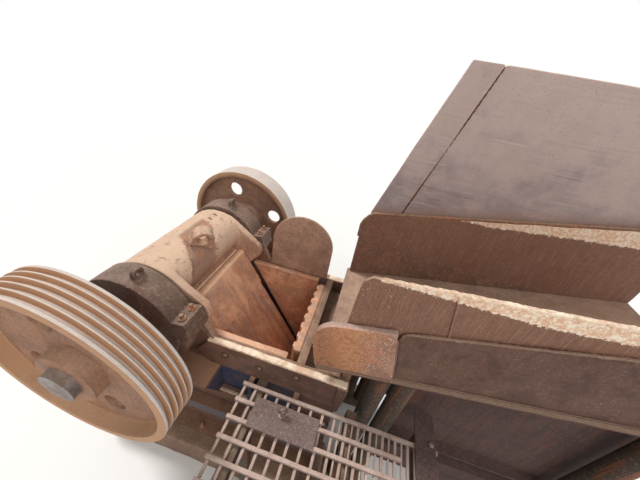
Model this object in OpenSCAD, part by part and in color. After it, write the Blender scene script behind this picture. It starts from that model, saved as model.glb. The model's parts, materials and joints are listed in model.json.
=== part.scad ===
/* [Machine] */
// Height of the shaft above the ground
shaft_h = 1500; // [1400:10:1700]
// Width between the side frames
frame_in_w = 750; // [720:5:800]
// Thickness of a side frame plate
side_t = 40; // [25:5:50]
// Top edge of the side frames, below the shaft
wall_drop = 92; // [60:2:130]
// Depth of the front frame, from the fixed jaw's face
front_depth = 341; // [320:1:400]
// Rear end of the side frames, behind the shaft
rear_back = 470; // [440:5:560]
// Base of the side frames, below the moving jaw's lower end
foot_drop = 293; // [280:1:380]

/* [Jaws] */
// Width of the jaw plates
jaw_w = 610; // [560:5:640]
// Height of the moving jaw plate along its face
jaw_len = 1080; // [1000:5:1120]
// Thickness of the jaw plates
jaw_t = 60; // [50:5:70]
// Slope of the moving jaw from the vertical
jaw_slope = 32; // [28:0.5:33]
// Gap between the jaws at their lower end
low_gap = 70; // [50:1:110]
// Top edge of the moving jaw, ahead of the shaft
jaw_top_x = 220; // [200:1:230]
// Top edge of the moving jaw, above the shaft
jaw_top_z = 29; // [20:1:50]
// Thickness of the cheek plates
cheek_t = 45; // [30:1:50]
// Thickness of the bar that clamps the moving jaw's top
clamp_t = 30; // [20:1:35]

/* [Shaft and bearings] */
// Radius of the pitman barrel
barrel_r = 279; // [250:1:285]
// Length of the pitman barrel
barrel_w = 712; // [680:2:716]
// Radius of the shaft in the pitman
shaft_r = 105; // [80:1:130]
// Radius of the shaft in the bearings and wheels
journal_r = 85; // [60:1:100]
// Radial running clearance
run_fit = 0.05; // [0.02:0.01:0.1]
// Radius of a bearing housing
housing_r = 296; // [285:1:300]
// Width of a bearing housing
housing_w = 155; // [120:5:180]
// Radius of the pitman's lifting lug
lug_r = 66; // [50:1:75]
// Slope of the split between cap and housing
cap_tilt = 12; // [0:1:15]

/* [Flywheels] */
// Radius of the flywheel
wheel_r = 467; // [420:1:480]
// Radius of the grooved drive wheel
pulley_r = 500; // [460:1:520]
// Width of the rims
rim_w = 179; // [140:1:200]
// Inner face of the rims, from the middle of the machine
rim_y = 693; // [640:1:720]
// Thickness of the rims
rim_t = 45; // [30:1:60]
// Radius of the round holes in the webs
web_hole_r = 60; // [40:1:70]
// Number of belt grooves in the drive wheel
grooves = 5; // [2:1:6]

/* [Chute] */
// Slope of the chute floor
chute_slope = 12.3; // [8:0.1:16]
// Length of the chute, level
chute_len = 1700; // [1400:10:1900]
// Height of the lower wall plates at their front end
low_wall_h = 310; // [280:5:340]
// Height of the far lower wall above the floor
far_wall_h = 505; // [490:5:560]
// Top of the upper wall plates at their front end, above the shaft
upper_z = 655; // [600:5:720]
// Top of the far apron, above the shaft
apron_z = 1450; // [1200:10:1600]
// Thickness of the chute wall plates
chute_t = 20; // [10:1:24]
// Distance from the middle to a lower wall's inner face
chute_half = 392; // [380:1:400]

/* [Walkway] */
// Level of the grating's top, below the shaft
walk_drop = 274; // [240:2:300]
// Length of the walkway
walk_len = 1120; // [1000:10:1400]
// Number of long bars
long_bars = 11; // [8:1:12]
// Pitch of the long bars
long_pitch = 91; // [80:1:100]
// Number of cross bars
cross_bars = 17; // [14:1:20]

/* [Hidden] */
eps = 1;

function tilted(x, z) = [x * cos(cap_tilt) - z * sin(cap_tilt), x * sin(cap_tilt) + z * cos(cap_tilt)];
// A point so far along the moving jaw's face and so far behind it
function face(along, behind) =
  [jaw_top_x + along * sin(jaw_slope) - behind * cos(jaw_slope),
   jaw_top_z - along * cos(jaw_slope) - behind * sin(jaw_slope)];

in_y = frame_in_w / 2;
out_y = in_y + side_t;
top_z = -wall_drop;
jaw_low = face(jaw_len, 0);
fixed_x = jaw_low[0] + low_gap;
front_x = fixed_x + front_depth;
base_z = jaw_low[1] - foot_drop;
rear_x = -rear_back;
flange_t = 60;
flange_x = 370;
housing_y = in_y + 1;
cover_r = 150;
cover_t = 25;
rail_t = 19;
rail_h = 198;
rail_y = out_y + rail_t;
shelf_x = flange_x + 93;
shelf_z = -housing_r - 4;
shelf_t = 28;
ledge_z = -550;
beam_z = -750;
foot_t = 40;
front_lip = 30;

clamp_h = 60;
ridges = 8;
ridge_t = 15;
worn = 330;
ridge_pitch = jaw_w / ridges;
nose = [33, 125];
nose_r = barrel_r - norm(nose);
shoulder = [290, 35];
shoulder_r = 80;
lug_tilt = 22;
lug_turn = 45;
lug_hole = barrel_r + 48;
lug_t = 75;
eye = [50, housing_y + housing_w / 2, housing_r + 19];

toggle_back = 260;
toggle_gap = 0.3;
toggle_w = jaw_w - 80;
seat_x = rear_x + 330;
shelf_end = rear_x + 420;
toggle_z = round(face(jaw_len - 92, toggle_back)[1]) + 12;
toggle_half = 65;
rod_z = toggle_z - 160;
rod_r = 20;
rod_pin = [face(jaw_len - 60, toggle_back)[0] - 40, rod_z];
pin_r = 15;
spring_l = 160;
washer_t = 10;

floor_x = front_x - 153;
floor_z = 32;
floor_t = 12;
end_x = floor_x + chute_len;
beam_h = 90;
sill_z = -608;
sill_h = 147;
skirt_low = -1150;
post_r = 54;
post_y = 340;
rear_post_x = end_x - 150;
front_post_x = front_x + 187;
post_pair = 126;
skirt_x = front_x + 397;
skirt_y = 251;
seam = 4;
plate_a = 360;
plate_a_t = 34;
plate_lead = 26;
plate_c = 70;
plate_d = 553;
hidden_h = low_wall_h - 60;

walk_x = front_x - 551;
walk_y = rail_y + 45;
bar_t = 20;
bars_w = (long_bars - 1) * long_pitch + bar_t;
under_walk = -walk_drop - 34;
bearer_w = 60;
bearer_h = 100;
strap_x = walk_x + walk_len - 122;
walk_bearers = [walk_x + 68, walk_x + walk_len / 2 + 60, walk_x + walk_len - 112];

function tangent(side, centre, r) =
  let (a = atan2(shoulder[1], shoulder[0]) + side * acos((barrel_r - shoulder_r) / norm(shoulder)))
  centre + r * [cos(a), sin(a)];
function floor_at(x) = floor_z + (x - floor_x) * tan(chute_slope);
function upper_at(x) = upper_z + (x - floor_x - plate_c) * 0.12;
// So high above the floor, square to it
function off_floor(x, high) = [x - high * sin(chute_slope), floor_at(x) + high * cos(chute_slope)];
function seam_top(x) = (upper_at(x) - floor_at(x)) / (cos(chute_slope) + 0.12 * sin(chute_slope));
function apron_low(x) = floor_at(x) + far_wall_h - 27;

module slab(x0, x1, y0, y1, z0, z1) {
  translate([x0, y0, z0]) cube([x1 - x0, y1 - y0, z1 - z0]);
}

// An outline in the X-Z plane, given thickness along Y
module across(y0, y1) {
  translate([0, y1, 0]) rotate([90, 0, 0]) linear_extrude(y1 - y0) children();
}

// A round bar or bore along Y on the shaft line
module on_shaft(r, y0, y1) {
  translate([0, y1, 0]) rotate([90, 0, 0]) cylinder(h = y1 - y0, r = r, $fn = 96);
}

module mirrored(near) {
  if (near) mirror([0, 1, 0]) children();
  else children();
}

// A plate in the Y-Z plane, x0 its rear face
module upright(x0, thick) {
  translate([x0, 0, 0]) rotate([90, 0, 90]) linear_extrude(thick) children();
}

module plinth_side() {
  color("darkgray") slab(rear_x - 60, front_x + 60, in_y - 95, in_y + 245, -shaft_h, base_z);
}

module plinth_rear() {
  color("darkgray") slab(rear_x - 60, 300, -in_y + 95, in_y - 95, -shaft_h, base_z);
}

module side_outline() {
  difference() {
    polygon([
      [rear_x, base_z], [front_x, base_z], [front_x, top_z], [flange_x + 60, top_z],
      tilted(flange_x, -flange_t), tilted(-flange_x, -flange_t), [rear_x, -330]
    ]);
    circle(r = housing_r + 0.3, $fn = 128);
  }
}

module side_frame() {
  saddle_y = housing_y + housing_w - 10;
  shelf_y = saddle_y + 60;
  beam_y = out_y + 85;
  color("steelblue") {
    across(in_y, out_y) side_outline();
    // cradle under the bearing housing, on its shelf
    across(out_y, saddle_y) difference() {
      intersection() {
        circle(r = housing_r + 44, $fn = 128);
        polygon([tilted(-500, -flange_t), tilted(500, -flange_t), tilted(500, -500), tilted(-500, -500)]);
      }
      circle(r = housing_r + 0.3, $fn = 128);
    }
    slab(-shelf_x, shelf_x, out_y, shelf_y, shelf_z - shelf_t, shelf_z);
    for (x = [-shelf_x, -shelf_x / 3, shelf_x / 3 - 25, shelf_x - 25]) upright(x, 25) polygon([
      [out_y, shelf_z - shelf_t], [shelf_y - 15, shelf_z - shelf_t], [out_y + 30, ledge_z - 60], [out_y, ledge_z - 60]
    ]);
    // rail along the top edge
    across(out_y, rail_y) polygon([
      [flange_x - 60, top_z - 120], [flange_x + 30, top_z], [front_x, top_z],
      [front_x, top_z - rail_h], [flange_x + 30, top_z - rail_h]
    ]);
    for (x = [walk_x + 20, walk_x + 300]) slab(x, x + 30, out_y, out_y + 60, ledge_z, top_z - rail_h);
    // thicker plate below the ledge, its channel and the base flange
    slab(rear_x, front_x, out_y, out_y + 20, base_z + foot_t, ledge_z);
    slab(rear_x, front_x, out_y, beam_y, beam_z - 20, beam_z);
    slab(rear_x, front_x, beam_y - 12, beam_y, beam_z - 100, beam_z - 20);
    for (x = [rear_x, 0, front_x / 2, front_x - 30]) slab(x, x + 30, out_y, beam_y, base_z + foot_t, beam_z - 20);
    slab(rear_x, front_x, out_y, out_y + 110, base_z, base_z + foot_t);
    // tapered flange at the front corner
    across(in_y, rail_y + 8) difference() {
      polygon([
        [front_x - 25, top_z - 6], [front_x + front_lip, top_z], [front_x + front_lip, top_z - 48],
        [front_x + 12, top_z - rail_h - 45], [front_x - 5, top_z - rail_h - 45], [front_x - 25, top_z - 108]
      ]);
      translate([front_x + 8, top_z - 45]) circle(r = 8, $fn = 24);
    }
  }
}

module front_frame() {
  wall_x = fixed_x + jaw_t;
  shelf_pitch = (top_z - base_z - 308) / 3;
  shelf_top = base_z + 180 + 3 * shelf_pitch;
  color("steelblue") {
    slab(wall_x, wall_x + 50, -in_y, in_y, base_z, top_z);
    for (i = [0:3])
      slab(wall_x + 50, front_x - 20, -in_y, in_y, base_z + 180 + i * shelf_pitch, base_z + 210 + i * shelf_pitch);
    for (y = [-200, 0, 200])
      slab(wall_x + 50, front_x - 60, y - 15, y + 15, base_z + 180, shelf_top + 30);
    slab(front_x - 20, front_x + front_lip, -in_y, in_y, top_z - 240, top_z);
  }
}

module rear_frame() {
  toggle_top = toggle_z + toggle_half;
  color("steelblue") difference() {
    union() {
      slab(rear_x, rear_x + 50, -in_y, in_y, base_z, -housing_r - 124);
      for (z = [toggle_z - toggle_half - 40, toggle_top])
        slab(rear_x + 50, shelf_end, -in_y, in_y, z, z + 40);
      for (y = [-220, 0, 220])
        slab(rear_x + 50, rear_x + 200, y - 15, y + 15, toggle_top + 40, -housing_r - 204);
    }
    translate([rear_x - eps, 0, rod_z]) rotate([0, 90, 0]) cylinder(h = 60, r = rod_r + 18, $fn = 48);
  }
}

module cheek_plate() {
  color("sienna") across(in_y - cheek_t, in_y) polygon([
    face(150, 0), [fixed_x - 5, top_z], [fixed_x - 5, toggle_z - 25], face(jaw_len - 50, 30)
  ]);
}

module jaw_ridges() {
  for (i = [0:ridges - 1]) {
    y = (i - (ridges - 1) / 2) * ridge_pitch;
    across(y - ridge_pitch / 4, y + ridge_pitch / 4) children();
  }
}

module fixed_jaw_plate() {
  low_z = jaw_low[1] - 113;
  color("sienna") {
    slab(fixed_x + ridge_t, fixed_x + jaw_t, -jaw_w / 2, jaw_w / 2, low_z, top_z);
    jaw_ridges() translate([fixed_x, low_z]) square([ridge_t, top_z - low_z]);
  }
}

// One half of a bearing: its round body with a bolting flange on the split, and the shaft's end cover
module bearing_half(side) {
  half = [[-500, 0], [500, 0], [500, side * 500], [-500, side * 500]];
  difference() {
    union() {
      across(housing_y, housing_y + housing_w) rotate(cap_tilt) intersection() {
        union() {
          circle(r = housing_r, $fn = 128);
          polygon([[-flange_x, -flange_t], [flange_x, -flange_t], [flange_x, flange_t], [-flange_x, flange_t]]);
        }
        polygon(half);
      }
      across(housing_y + housing_w, housing_y + housing_w + cover_t) rotate(cap_tilt) intersection() {
        circle(r = cover_r, $fn = 96);
        polygon(half);
      }
    }
    on_shaft(journal_r + run_fit, 0, 1000);
  }
}

module bearing_housing() {
  color("slategray") bearing_half(-1);
}

module bearing_cap() {
  eye_r = 35;
  color("slategray") {
    bearing_half(1);
    // lifting eye on the crown
    upright(eye[0] - 15, 30) difference() {
      union() {
        translate([eye[1] - eye_r, eye[2] - 45]) square([2 * eye_r, 45]);
        translate([eye[1], eye[2]]) circle(r = eye_r, $fn = 48);
      }
      translate([eye[1], eye[2]]) circle(r = 14, $fn = 32);
    }
  }
}

module toggle_block() {
  color("dimgray")
    slab(rear_x + 50, seat_x, -jaw_w / 2, jaw_w / 2, toggle_z - toggle_half, toggle_z + toggle_half);
}

module toggle_plate() {
  color("dimgray") across(-toggle_w / 2, toggle_w / 2) polygon([
    [seat_x, toggle_z - 25], face(jaw_len - 70, toggle_back + toggle_gap),
    face(jaw_len - 115, toggle_back + toggle_gap), [seat_x, toggle_z + 25]
  ]);
}

// The barrel's outline between the shoulders: round behind, a tighter nose in front
module barrel_outline() {
  aim = nose / norm(nose);
  difference() {
    circle(r = barrel_r, $fn = 96);
    difference() {
      polygon([nose, aim * 400, [400, 400], [400, -100], face(-20, jaw_t + clamp_t + 2)]);
      translate(nose) circle(r = nose_r, $fn = 96);
    }
  }
}

module pitman_section() {
  difference() {
    union() {
      barrel_outline();
      polygon([face(clamp_h, 0), face(jaw_len, 0), face(jaw_len, jaw_t + 70), face(clamp_h, jaw_t + 70)]);
      // toggle seat
      polygon([
        face(jaw_len - 180, 0), face(jaw_len, 0), face(jaw_len - 20, toggle_back), face(jaw_len - 160, toggle_back)
      ]);
    }
    // seat of the jaw plate and its clamp bar
    polygon([
      face(-20, jaw_t + clamp_t + 2), face(clamp_h, jaw_t + clamp_t), face(clamp_h, jaw_t),
      face(jaw_len + 50, jaw_t), face(jaw_len + 50, -300), face(-20, -300)
    ]);
  }
}

module pitman() {
  end_t = (barrel_w - jaw_w) / 2;
  color("peru") difference() {
    union() {
      across(-jaw_w / 2, jaw_w / 2) pitman_section();
      // ribs from the barrel to the toggle seat
      for (y = [-jaw_w / 2 + 30, -95, 95, jaw_w / 2 - 30]) across(y - 20, y + 20) polygon([
        [-150, -200], face(clamp_h + 40, jaw_t + 10), face(jaw_len - 10, jaw_t + 10),
        face(jaw_len - 80, toggle_back - 1), face(jaw_len - 280, toggle_back)
      ]);
      // rounded shoulders at both ends of the jaw
      for (side = [0, 1]) mirror([0, side, 0]) across(jaw_w / 2, jaw_w / 2 + end_t) {
        circle(r = barrel_r, $fn = 96);
        translate(shoulder) circle(r = shoulder_r, $fn = 48);
        polygon([tangent(1, [0, 0], barrel_r - 1), tangent(1, shoulder, shoulder_r),
                 tangent(-1, shoulder, shoulder_r), tangent(-1, [0, 0], barrel_r - 1)]);
      }
      // ears for the tension rod's pin
      for (y = [-35, 35]) across(y - 12, y + 12) polygon([
        face(jaw_len - 60, 200), face(jaw_len - 30, toggle_back - 5), rod_pin + [-35, -5],
        rod_pin + [0, -35], rod_pin + [35, -5]
      ]);
    }
    on_shaft(shaft_r + run_fit, -barrel_w, barrel_w);
    translate([rod_pin[0], 0, rod_pin[1]]) on_shaft(pin_r + run_fit, -100, 100);
  }
}

// The plate is worn smooth near its top, and its ridges stand below
module moving_jaw_plate() {
  color("sienna") {
    across(-jaw_w / 2, jaw_w / 2) polygon([
      face(ridge_t, 0), face(worn, 0), face(worn, ridge_t), face(jaw_len, ridge_t),
      face(jaw_len, jaw_t), face(0, jaw_t), face(0, ridge_t)
    ]);
    jaw_ridges() polygon([
      face(worn - 1, 0), face(worn - 1, ridge_t), face(jaw_len, ridge_t), face(jaw_len, 0)
    ]);
  }
}

module jaw_clamp_bar() {
  color("sienna") across(-jaw_w / 2, jaw_w / 2) polygon([
    face(-8, jaw_t), face(clamp_h, jaw_t), face(clamp_h, jaw_t + clamp_t), face(-8, jaw_t + clamp_t)
  ]);
}

module lifting_lug() {
  color("saddlebrown") difference() {
    translate([0, -25, 0]) rotate([0, lug_tilt, 0]) rotate(-lug_turn) upright(-lug_t / 2, lug_t) difference() {
      union() {
        polygon([
          [-lug_r - 25, barrel_r - 60], [lug_r + 25, barrel_r - 60], [lug_r, lug_hole - 10], [-lug_r, lug_hole - 10]
        ]);
        translate([0, lug_hole]) circle(r = lug_r, $fn = 64);
      }
      translate([0, lug_hole]) circle(r = 19, $fn = 32);
    }
    across(-200, 200) barrel_outline();
  }
}

module along_rod(x, long, r, sides) {
  translate([x, 0, rod_z]) rotate([0, 90, 0]) cylinder(h = long, r = r, $fn = sides);
}

module tension_rod() {
  spring_x = rear_x - 40;
  color("dimgray") {
    along_rod(rear_x - 250, 230 + rear_back + rod_pin[0], rod_r, 32);
    translate([rod_pin[0], 0, rod_z]) on_shaft(rod_r + 14, -22, 22);
    translate([rod_pin[0], 0, rod_z]) on_shaft(pin_r, -52, 52);
    along_rod(spring_x - spring_l - washer_t - 35, 35, 34, 6);
    along_rod(spring_x - spring_l - washer_t, washer_t, 52, 48);
    along_rod(spring_x, washer_t, 52, 48);
  }
}

module tension_spring() {
  coils = 8;
  color("dimgray") translate([rear_x - 40 - spring_l, 0, rod_z]) rotate([0, 90, 0])
    for (i = [0:coils - 1])
      translate([0, 0, (i + 0.5) * spring_l / coils]) rotate_extrude($fn = 48) translate([38, 0])
        circle(r = spring_l / coils / 2, $fn = 24);
}

module shaft() {
  end_y = rim_y + rim_w + 40;
  color("lightsteelblue") {
    on_shaft(shaft_r, -barrel_w / 2, barrel_w / 2);
    on_shaft(journal_r, -end_y, end_y);
  }
}

module wheel(r, holes) {
  hub_y = rim_y + 30;
  difference() {
    union() {
      difference() {
        on_shaft(r, rim_y, rim_y + rim_w);
        on_shaft(r - rim_t, rim_y - eps, rim_y + rim_w + eps);
      }
      on_shaft(r - rim_t + 5, rim_y + rim_w / 2 - 20, rim_y + rim_w / 2 + 20);
      on_shaft(150, hub_y, rim_y + rim_w);
    }
    on_shaft(journal_r, 0, 2000);
    for (i = [0:holes - 1]) rotate([0, -109.4 - i * 360 / holes, 0]) translate([290, 0, 0])
      on_shaft(web_hole_r, 0, 2000);
  }
}

module flywheel() {
  color("lightgray") wheel(wheel_r, 4);
}

// The drive wheel has a V groove for each belt
module drive_wheel() {
  groove_d = 24;
  pitch = (rim_w - 20) / grooves;
  color("lightgray") difference() {
    wheel(pulley_r, 4);
    for (i = [0:grooves - 1])
      translate([0, rim_y + 10 + (i + 0.5) * pitch, 0]) rotate([90, 0, 0]) rotate_extrude($fn = 96) polygon([
        [pulley_r + 1, -pitch / 2 + 4], [pulley_r + 1, pitch / 2 - 4],
        [pulley_r - groove_d, pitch / 4 - 2], [pulley_r - groove_d, -pitch / 4 + 2]
      ]);
  }
}

module guard_plate() {
  guard_r = 238;
  guard = [flange_x + 68 + guard_r, 160];
  color("rosybrown") across(in_y, in_y + 16) {
    translate(guard) circle(r = guard_r, $fn = 96);
    translate([guard[0] - guard_r, top_z]) square([2 * guard_r, guard[1] - top_z]);
  }
}

module floor_strip(x0, x1, top, bottom) {
  polygon([
    [x0, floor_at(x0) - bottom], [x1, floor_at(x1) - bottom], [x1, floor_at(x1) - top], [x0, floor_at(x0) - top]
  ]);
}

module chute_bearer() {
  x0 = front_x - 20;
  x1 = front_x + front_lip;
  color("steelblue") across(-in_y, in_y)
    polygon([[x0, top_z], [x1, top_z], [x1, floor_at(x1) - floor_t], [x0, floor_at(x0) - floor_t]]);
}

module chute_floor() {
  lip = 25;
  color("rosybrown") {
    across(-chute_half - chute_t - lip, chute_half + chute_t + lip) floor_strip(floor_x, end_x, 0, floor_t);
    for (y = [-post_y, post_y]) across(y - 30, y + 30) floor_strip(front_x + 40, end_x, floor_t, floor_t + beam_h);
  }
}

// A lower near plate: square to the floor, its upper front corner round
module low_wall(x0, x1, high, rise, corner, thick) {
  long = (x1 - x0) / cos(chute_slope);
  mid = [corner, high + corner * rise - corner / cos(atan(rise))];
  tip = corner - corner * sin(atan(rise));
  translate([x0, 0, floor_at(x0)]) rotate([0, -chute_slope, 0]) across(chute_half, chute_half + thick) {
    polygon([[0, 0], [long, 0], [long, high + long * rise], [tip, high + tip * rise], mid, [0, mid[1]]]);
    translate(mid) circle(r = corner, $fn = 96);
  }
}

// The upper near plates stand inside the lower ones and meet in a seam square to the floor
module top_wall(outline) {
  color("rosybrown") across(chute_half - chute_t, chute_half) polygon(outline);
}

module top_front() {
  x0 = floor_x + plate_c;
  x1 = floor_x + plate_d;
  lean = 12;
  top_wall([
    [x0, floor_at(x0) + hidden_h], off_floor(x1, hidden_h), off_floor(x1, seam_top(x1)),
    [x0 + lean + 32, upper_at(x0 + lean + 32)], [x0 + lean + 10, upper_at(x0) - 18], [x0 + lean, upper_at(x0) - 42]
  ]);
}

module top_rear() {
  x0 = floor_x + plate_d + seam;
  top_wall([
    off_floor(x0, hidden_h), [end_x, floor_at(end_x) + hidden_h], [end_x, upper_at(end_x)],
    off_floor(x0, seam_top(x0))
  ]);
}

module chute_wall_far() {
  x0 = floor_x + 15;
  color("rosybrown") across(chute_half, chute_half + chute_t) polygon([
    [x0, floor_at(x0)], [end_x, floor_at(end_x)], [end_x, floor_at(end_x) + far_wall_h],
    [x0 + 60, floor_at(x0 + 60) + far_wall_h], [x0, floor_at(x0) + far_wall_h - 80]
  ]);
}

// Two plates that meet in a leaning seam, outside the far lower wall
module apron(outline) {
  color("thistle") across(chute_half + chute_t, chute_half + 2 * chute_t) polygon(outline);
}

module apron_front() {
  x0 = floor_x + 50;
  x1 = floor_x + 235;
  apron([
    [x0 + 30, apron_low(x0 + 30)], [x1, apron_low(x1)], [x1 + 224, apron_z], [x0 + 262, apron_z],
    [x0 + 3, apron_low(x0) + 30], [x0 + 9, apron_low(x0) + 10]
  ]);
}

module apron_rear() {
  x0 = floor_x + 235 + seam;
  apron([[x0, apron_low(x0)], [end_x, apron_low(end_x)], [end_x, apron_z], [x0 + 224, apron_z]]);
}

module post(xs, y) {
  foot = post_r + 56;
  color("slategray") {
    difference() {
      union() for (x = xs) translate([x, y, -shaft_h]) cylinder(h = 2500, r = post_r, $fn = 64);
      across(-1000, 1000) floor_strip(xs[0] - 200, xs[0] + 400, -2500, floor_t + beam_h);
    }
    difference() {
      slab(xs[0] - foot, xs[len(xs) - 1] + foot, y - foot, y + foot, -shaft_h, -shaft_h + 16);
      for (x = [xs[0] - 85, xs[len(xs) - 1] + 85], dy = [-85, 85])
        translate([x, y + dy, -shaft_h - eps]) cylinder(h = 30, r = 9, $fn = 24);
    }
  }
}

module front_posts(y) {
  post([front_post_x, front_post_x + post_pair], y);
}

module chute_skirt() {
  sill_x = rear_post_x - post_r - 6;
  color("rosybrown") {
    across(skirt_y, skirt_y + 12) polygon([
      [skirt_x, sill_z], [end_x, sill_z], [end_x, floor_at(end_x) - floor_t], [skirt_x, floor_at(skirt_x) - floor_t]
    ]);
    for (z = [sill_z - 12, sill_z - sill_h]) slab(skirt_x, sill_x, skirt_y, skirt_y + 70, z, z + 12);
    slab(skirt_x, end_x, skirt_y, skirt_y + 12, skirt_low, sill_z);
  }
}

module walkway_grating() {
  pitch = walk_len / (cross_bars - 1) - 2;
  color("silver") mirror([0, 1, 0]) {
    // the second long bar is cut off short of the strap
    for (i = [0:long_bars - 1]) translate([0, i * long_pitch, 0])
      slab(walk_x, i == 1 ? strap_x - 70 : walk_x + walk_len, walk_y, walk_y + bar_t, -walk_drop - 20, -walk_drop);
    for (i = [0:cross_bars - 1]) translate([walk_x + 8 + i * pitch, 0, 0])
      slab(0, 15, walk_y, walk_y + bars_w, under_walk, -walk_drop - 18);
    // finer bars between the others, towards the chute
    for (i = [floor(cross_bars / 2):cross_bars - 2]) translate([walk_x + 8 + (i + 0.5) * pitch, 0, 0])
      slab(4, 12, walk_y, walk_y + bars_w, under_walk + 4, -walk_drop - 18);
  }
}

module walkway_bearers() {
  color("slategray") mirror([0, 1, 0]) for (x = walk_bearers)
    slab(x, x + bearer_w, out_y, walk_y + bars_w + 41, under_walk - bearer_h, under_walk);
}

module walkway_posts() {
  color("slategray") mirror([0, 1, 0]) for (x = walk_bearers, y = [walk_y + 151, walk_y + bars_w - 39])
    slab(x, x + bearer_w, y, y + bearer_w, -shaft_h, under_walk - bearer_h);
}

module walkway_plate() {
  color("silver") mirror([0, 1, 0])
    slab(walk_x + 116, walk_x + 482, walk_y + 61, walk_y + 211, -walk_drop, -walk_drop + 10);
}

module walkway_strap() {
  x0 = strap_x;
  x1 = x0 + 120;
  bolt = [x1 - 36, walk_y - 13];
  color("rosybrown") mirror([0, 1, 0]) translate([0, 0, -walk_drop]) linear_extrude(12) difference() {
    polygon([
      [x0, walk_y - 179], [x1 - 55, walk_y - 182], [x1 - 10, walk_y - 164],
      [x1, walk_y + bars_w - 10], [x0, walk_y + bars_w - 10]
    ]);
    translate(bolt) circle(r = 11, $fn = 32);
  }
}

translate([0, 0, shaft_h]) {
  mirrored(true) plinth_side();  // plinth_near
  mirrored(false) plinth_side();  // plinth_far
  plinth_rear();
  mirrored(true) side_frame();  // side_frame_near
  mirrored(false) side_frame();  // side_frame_far
  front_frame();
  rear_frame();
  mirrored(true) cheek_plate();  // cheek_plate_near
  mirrored(false) cheek_plate();  // cheek_plate_far
  fixed_jaw_plate();
  mirrored(true) bearing_housing();  // bearing_housing_near
  mirrored(false) bearing_housing();  // bearing_housing_far
  mirrored(true) bearing_cap();  // bearing_cap_near
  mirrored(false) bearing_cap();  // bearing_cap_far
  toggle_block();
  toggle_plate();
  pitman();
  moving_jaw_plate();
  jaw_clamp_bar();
  lifting_lug();
  tension_rod();
  tension_spring();
  shaft();
  flywheel();
  mirrored(true) drive_wheel();
  guard_plate();
  chute_bearer();
  chute_floor();
  mirrored(true) color("peru")  // chute_wall_near_front
      low_wall(floor_x - plate_lead, floor_x + plate_a, low_wall_h, 0.03, 140, plate_a_t);
  mirrored(true) color("rosybrown") low_wall(floor_x + plate_a + seam, end_x, low_wall_h + 4, 0.08, 56, chute_t);  // chute_wall_near_rear
  mirrored(true) top_front();  // chute_top_near_front
  mirrored(true) top_rear();  // chute_top_near_rear
  chute_wall_far();
  apron_front();  // chute_apron_front
  apron_rear();  // chute_apron_rear
  front_posts(-post_y);  // chute_post_near_front
  post([rear_post_x], -post_y);  // chute_post_near_rear
  front_posts(post_y);  // chute_post_far_front
  post([rear_post_x], post_y);  // chute_post_far_rear
  mirrored(true) chute_skirt();  // chute_skirt_near
  chute_skirt();  // chute_skirt_far
  walkway_grating();
  walkway_bearers();
  walkway_posts();
  walkway_plate();
  walkway_strap();
}
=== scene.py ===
import json
from math import radians, sin, cos, atan2, hypot, pi
import bpy
import numpy
from mathutils import Matrix, Vector, noise


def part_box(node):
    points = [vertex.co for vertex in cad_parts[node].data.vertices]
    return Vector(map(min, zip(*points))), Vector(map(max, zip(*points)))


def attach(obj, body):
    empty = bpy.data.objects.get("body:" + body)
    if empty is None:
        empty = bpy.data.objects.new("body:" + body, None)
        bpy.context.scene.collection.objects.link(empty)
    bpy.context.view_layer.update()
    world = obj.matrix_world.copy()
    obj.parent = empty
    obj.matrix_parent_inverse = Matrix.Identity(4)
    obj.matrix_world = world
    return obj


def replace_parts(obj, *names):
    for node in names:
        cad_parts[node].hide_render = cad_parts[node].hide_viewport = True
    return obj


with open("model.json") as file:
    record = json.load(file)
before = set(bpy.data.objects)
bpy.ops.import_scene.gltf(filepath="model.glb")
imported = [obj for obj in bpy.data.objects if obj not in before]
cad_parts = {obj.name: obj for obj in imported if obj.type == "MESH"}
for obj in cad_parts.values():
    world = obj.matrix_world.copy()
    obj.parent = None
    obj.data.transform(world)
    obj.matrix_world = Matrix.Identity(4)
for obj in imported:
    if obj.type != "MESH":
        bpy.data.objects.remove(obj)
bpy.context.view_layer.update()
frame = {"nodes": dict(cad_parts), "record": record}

shaftHeight = 1.5  # the shaft's axis above the ground, as in the CAD
nodes = frame['nodes']

view = {
    'place': (1.067, -1.238, 1.333),  # from the middle of the shaft
    'yaw': -9.27,
    'pitch': 33.47,
    'roll': -10.5,
    'focal': 266.66,  # pixels of a picture 640 wide
    'picture': 640,
    'sensor': 36,
    'sight': 60,  # how far the camera sees
}


def linked(name, data):  # a new object in the scene
    piece = bpy.data.objects.new(name, data)
    bpy.context.scene.collection.objects.link(piece)
    return piece


def makeCamera():
    yaw, pitch, roll = (radians(view[turn]) for turn in ('yaw', 'pitch', 'roll'))
    ahead = Vector((sin(yaw) * cos(pitch), cos(yaw) * cos(pitch), -sin(pitch)))
    right = Vector((cos(yaw), -sin(yaw), 0))
    down = ahead.cross(right)
    across = right * cos(roll) + down * sin(roll)
    below = down * cos(roll) - right * sin(roll)
    data = bpy.data.cameras.new('camera')
    data.sensor_width = view['sensor']
    data.lens = view['focal'] / view['picture'] * view['sensor']
    data.clip_end = view['sight']
    camera = linked('camera', data)
    turn = Matrix((across, -below, -ahead)).transposed().to_4x4()
    camera.matrix_world = Matrix.Translation(Vector(view['place']) + Vector((0, 0, shaftHeight))) @ turn
    bpy.context.scene.camera = camera


makeCamera()
print('camera set')


def tone(red, green, blue):  # a colour as a screen shows it, made linear for the shader
    return tuple((part / 255 / 12.92) if part < 11 else ((part / 255 + 0.055) / 1.055) ** 2.4
                 for part in (red, green, blue))


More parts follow.
